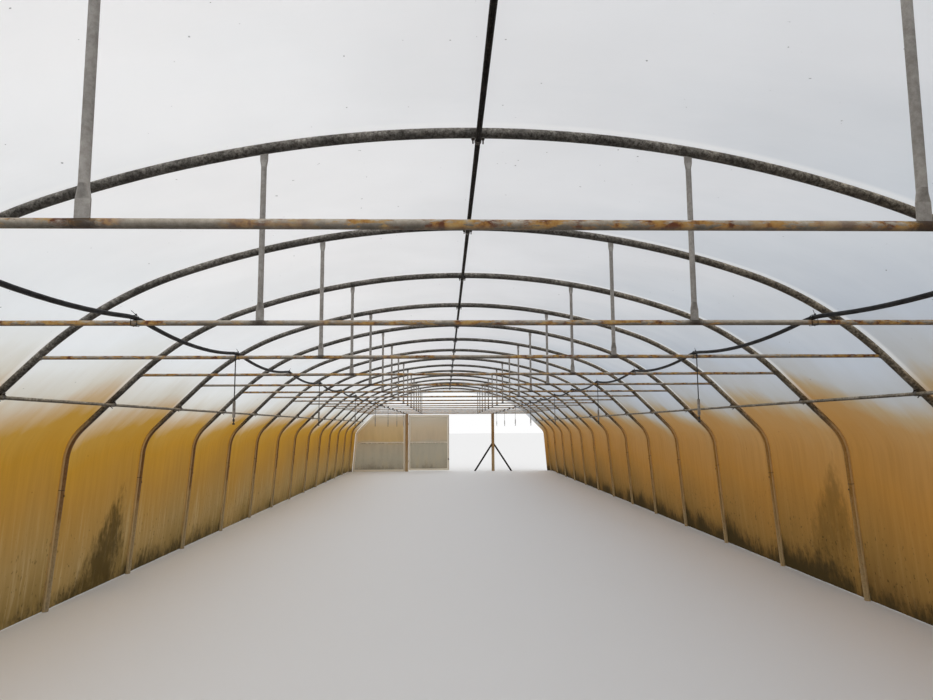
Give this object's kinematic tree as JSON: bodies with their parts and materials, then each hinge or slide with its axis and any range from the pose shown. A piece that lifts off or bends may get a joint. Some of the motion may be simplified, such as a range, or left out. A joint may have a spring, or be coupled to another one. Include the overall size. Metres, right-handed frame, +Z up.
{
  "type": "polytunnel greenhouse",
  "caption": "Tunnel greenhouse of bent steel hoops under translucent film, with tie bars, purlins, hanging sprinklers and a half-closed end frame with a hinged film door.",
  "frame": {"origin": "on the ground, at the middle of the tunnel's length and width", "axes": "+X across the tunnel to the right when looking at the far end, +Y along the tunnel to the far end, +Z up"},
  "size_m": [7.0138, 24.16, 2.8748],
  "materials": {
    "polythene_film": "translucent weathered film",
    "panel_film": "translucent weathered film",
    "panel_rails": "timber lath wrapped in film",
    "galvanised_hoop": "weathered galvanised",
    "ground_tube": "weathered galvanised",
    "tie_bar": "galvanised with rust patches",
    "hanger": "weathered galvanised",
    "ridge_tube": "dark weathered",
    "side_tube": "weathered galvanised",
    "clamp": "weathered galvanised",
    "black_pipe": "black polythene",
    "sprinkler": "moulded plastic",
    "brace": "dark weathered",
    "timber_post": "stained weathered timber",
    "hinge_steel": "dark weathered"
  },
  "bodies": {
    "tunnel": {"far_end_hoop": "galvanised_hoop", "far_hinge_pins": "hinge_steel", "far_post_braces": "brace", "far_post_left": "timber_post", "far_post_right": "timber_post", "far_side_panel_film": "panel_film", "far_side_panel_frame": "panel_rails", "film_eave_left": "polythene_film", "film_eave_right": "polythene_film", "film_haunch_left": "polythene_film", "film_haunch_right": "polythene_film", "film_roof_left": "polythene_film", "film_roof_right": "polythene_film", "film_side_left": "polythene_film", "film_side_right": "polythene_film", "film_slope_left": "polythene_film", "film_slope_right": "polythene_film", "ground_tubes": "ground_tube", "hangers": "hanger", "hoops_01_to_04": "galvanised_hoop", "hoops_05_to_08": "galvanised_hoop", "hoops_09_to_12": "galvanised_hoop", "hoops_13_to_15": "galvanised_hoop", "near_end_hoop": "galvanised_hoop", "near_hinge_pins": "hinge_steel", "near_post_braces": "brace", "near_post_left": "timber_post", "near_post_right": "timber_post", "near_side_panel_film": "panel_film", "near_side_panel_frame": "panel_rails", "ridge_clamps": "clamp", "ridge_purlin": "ridge_tube", "side_clamps": "clamp", "side_purlin_left": "side_tube", "side_purlin_right": "side_tube", "sprinkler_drops": "sprinkler", "tie_bars": "tie_bar", "water_pipe_left": "black_pipe", "water_pipe_right": "black_pipe"},
    "far_door_leaf": {"far_door_frame": "panel_rails", "far_door_film": "panel_film", "far_hinge_straps": "hinge_steel"},
    "near_door_leaf": {"near_door_frame": "panel_rails", "near_door_film": "panel_film", "near_hinge_straps": "hinge_steel"}
  },
  "joints": [
    {"name": "far_door_hinge", "type": "hinge", "parent": "tunnel", "child": "far_door_leaf", "pos_m": [-1.4335, 12.0615, 1], "axis": [0, 0, 1], "range_deg": [0, 170]},
    {"name": "near_door_hinge", "type": "hinge", "parent": "tunnel", "child": "near_door_leaf", "pos_m": [1.4335, -12.0615, 1], "axis": [0, 0, 1], "range_deg": [0, 170]}
  ]
}
